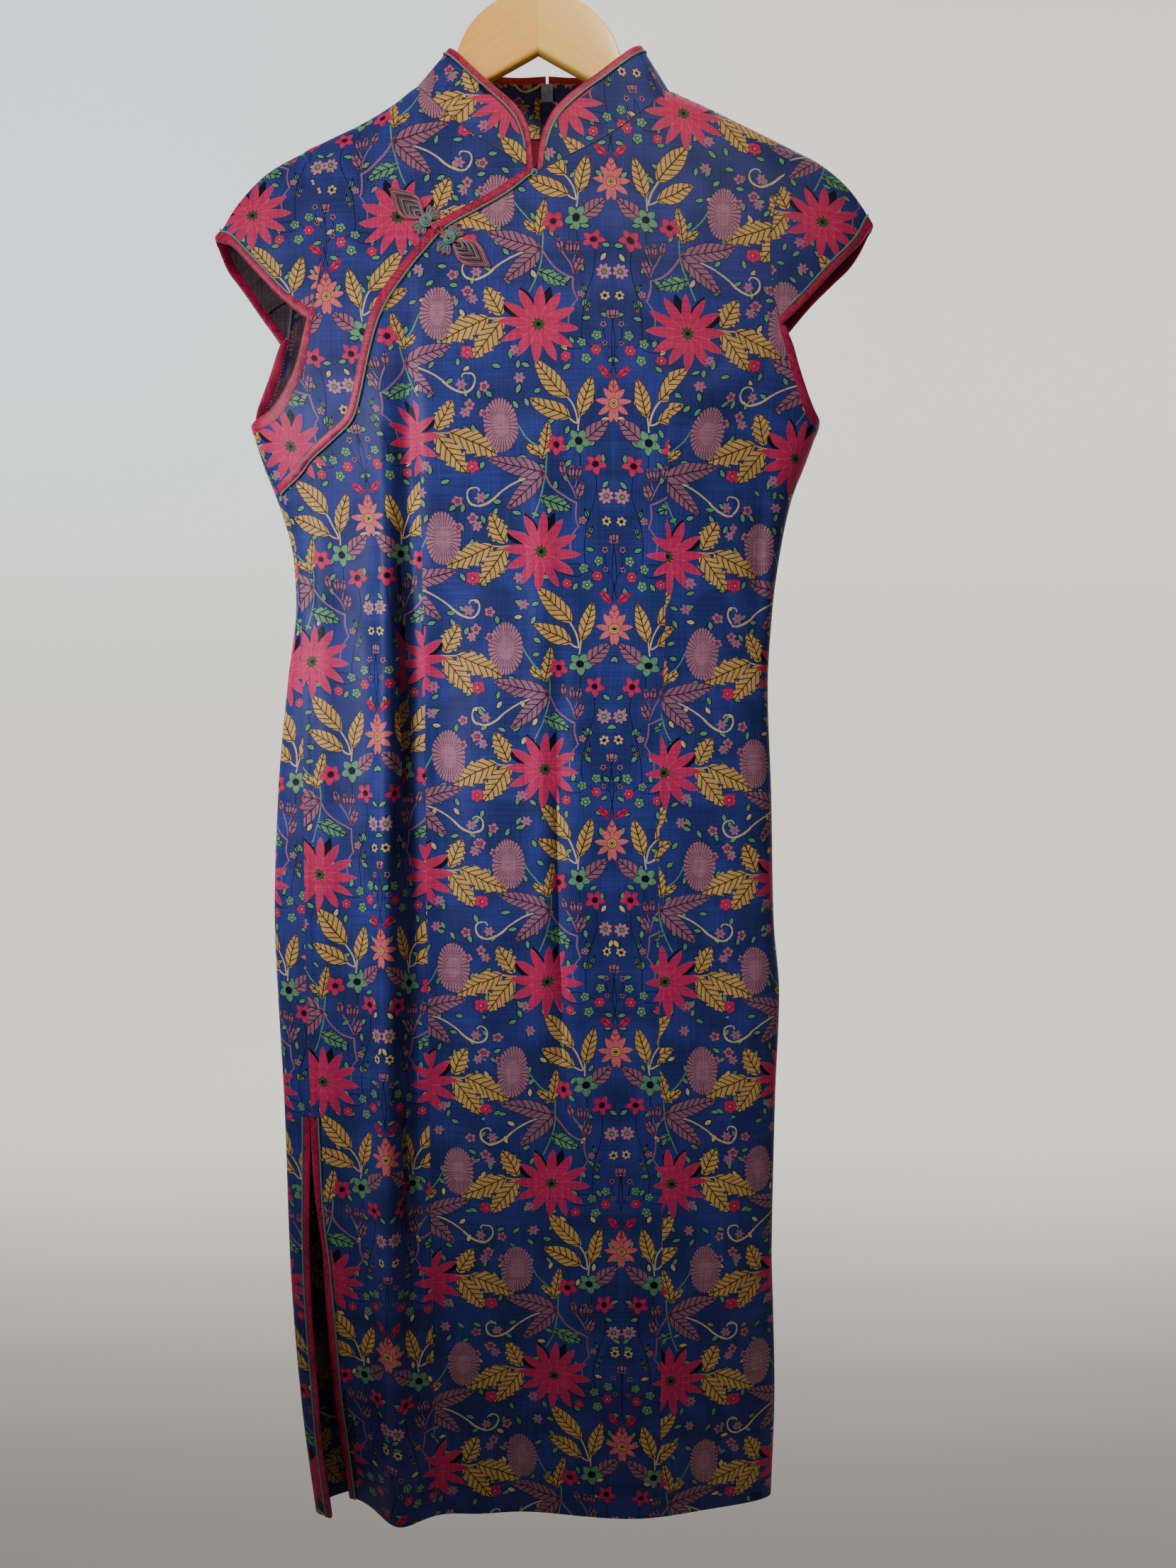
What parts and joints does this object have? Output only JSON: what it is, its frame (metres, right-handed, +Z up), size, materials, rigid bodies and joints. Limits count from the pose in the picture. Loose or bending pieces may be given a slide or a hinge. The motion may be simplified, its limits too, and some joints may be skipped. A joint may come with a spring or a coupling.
{
  "type": "cheongsam dress on a clothes hanger",
  "caption": "Knee-length cap-sleeved dress with a standing collar, a curved side placket, knotted cord frog and side slits, hung on a flat wooden hanger.",
  "frame": {"origin": "inner top of the hanger's hook, where it hangs on a rail", "axes": "+Z up, -Y out of the dress's front, +X towards the wearer's left side (the viewer's right)"},
  "size_m": [0.472, 0.0837, 1.2053],
  "materials": {
    "print": "smooth printed cloth",
    "lining": "plain lining",
    "binding": "satin bias binding",
    "piping": "twisted cord",
    "tape": "woven zip tape",
    "slider": "enamel",
    "wood": "clear satin varnish",
    "steel": "plated wire"
  },
  "bodies": {
    "dress": {"armhole_binding_left": "binding", "armhole_binding_right": "binding", "back_left": "print", "back_right": "print", "collar_binding_left": "binding", "collar_binding_right": "binding", "collar_left": "print", "collar_piping_left": "piping", "collar_piping_right": "piping", "collar_right": "print", "frog_coil_lower": "piping", "frog_coil_upper": "piping", "frog_knot": "binding", "frog_leaf_lower": "binding", "frog_leaf_upper": "binding", "front_main": "print", "front_underlap": "print", "hanger_hook": "steel", "hanger_left": "wood", "hanger_right": "wood", "lining_back_left": "lining", "lining_back_right": "lining", "lining_sleeve_left": "lining", "lining_sleeve_right": "lining", "placket_binding": "binding", "placket_piping": "piping", "sleeve_binding_left": "binding", "sleeve_binding_right": "binding", "sleeve_left": "print", "sleeve_piping_left": "piping", "sleeve_piping_right": "piping", "sleeve_right": "print", "slit_binding_back_left": "binding", "slit_binding_back_right": "binding", "slit_binding_front_left": "binding", "slit_binding_front_right": "binding", "slit_piping_back_left": "piping", "slit_piping_back_right": "piping", "slit_piping_front_left": "piping", "slit_piping_front_right": "piping", "zip_slider": "slider", "zip_tape": "tape"},
    "pull_tab": {"zip_pull": "slider"}
  },
  "joints": [
    {"name": "pull_hinge", "type": "hinge", "parent": "dress", "child": "pull_tab", "pos_m": [0.00793, 0.03742, -0.1275], "axis": [1, 0, 0], "range_deg": [0, 150]}
  ]
}
